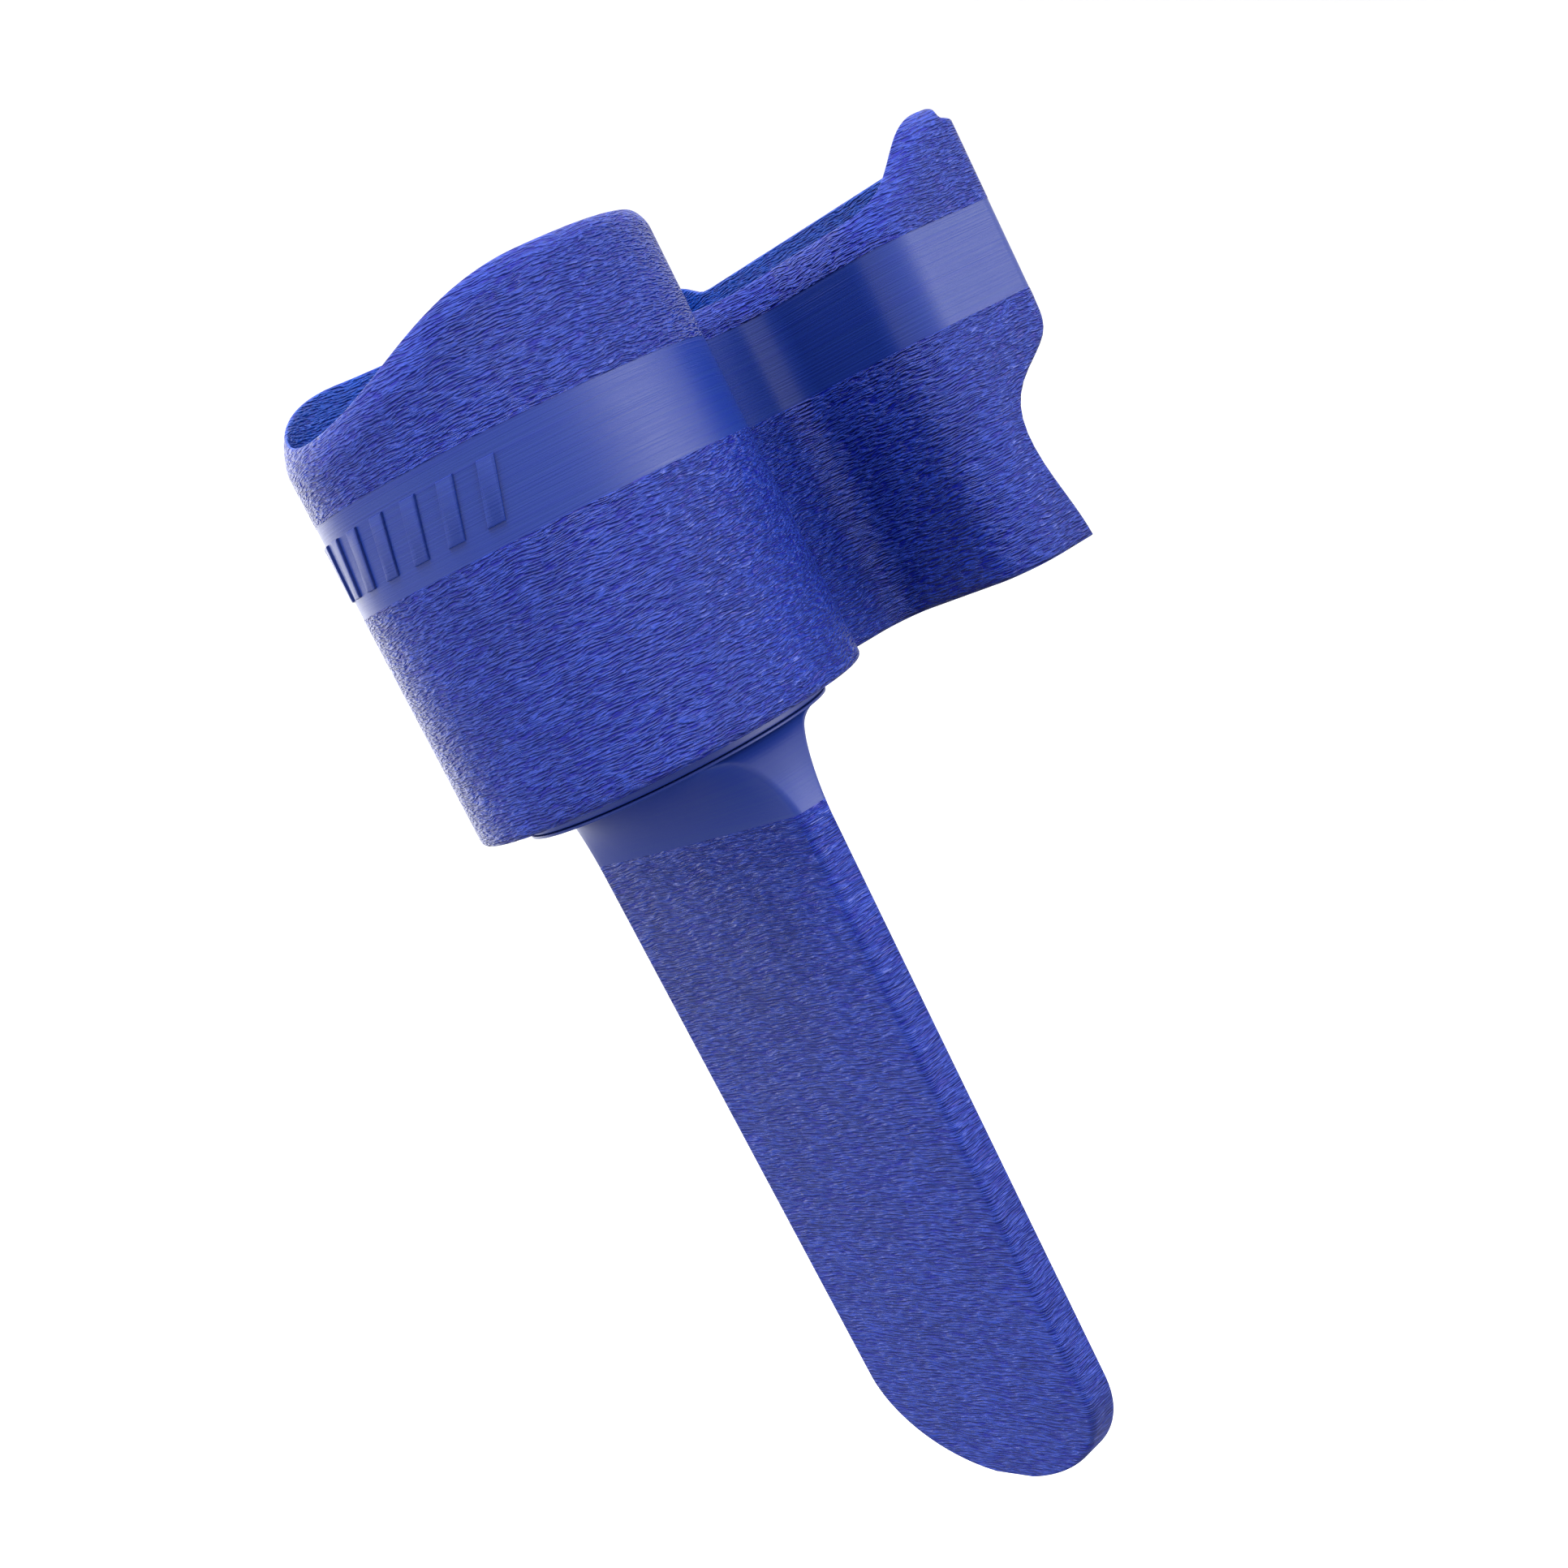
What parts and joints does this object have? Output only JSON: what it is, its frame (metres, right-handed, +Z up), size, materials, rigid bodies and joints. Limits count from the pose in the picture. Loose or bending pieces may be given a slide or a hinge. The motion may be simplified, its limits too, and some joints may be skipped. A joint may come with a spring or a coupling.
{
  "type": "sock aid",
  "caption": "One-handed sock aid: a round cup with a dipped front rim, an open waist and a wide flat rear chamber, on a flat paddle handle with a rounded tip.",
  "frame": {"origin": "on the axis of the cup, at the underside of the head, above the hand that holds the paddle", "axes": "+Z up along the cup's axis, away from the handle; +Y from the cup towards the rear chamber, so the front of the cup faces -Y; +X to the right as seen from the front"},
  "size_m": [0.089, 0.1139, 0.2201],
  "materials": {
    "head_plastic": "moulded grain with a smooth belt",
    "disc_plastic": "smooth",
    "handle_plastic": "moulded grain with a smooth neck",
    "screw_steel": "zinc plated"
  },
  "bodies": {
    "root": {"head_shell": "head_plastic", "seat_disc": "disc_plastic", "handle": "handle_plastic", "screw_1": "screw_steel", "screw_2": "screw_steel", "screw_3": "screw_steel", "screw_4": "screw_steel"}
  },
  "joints": []
}
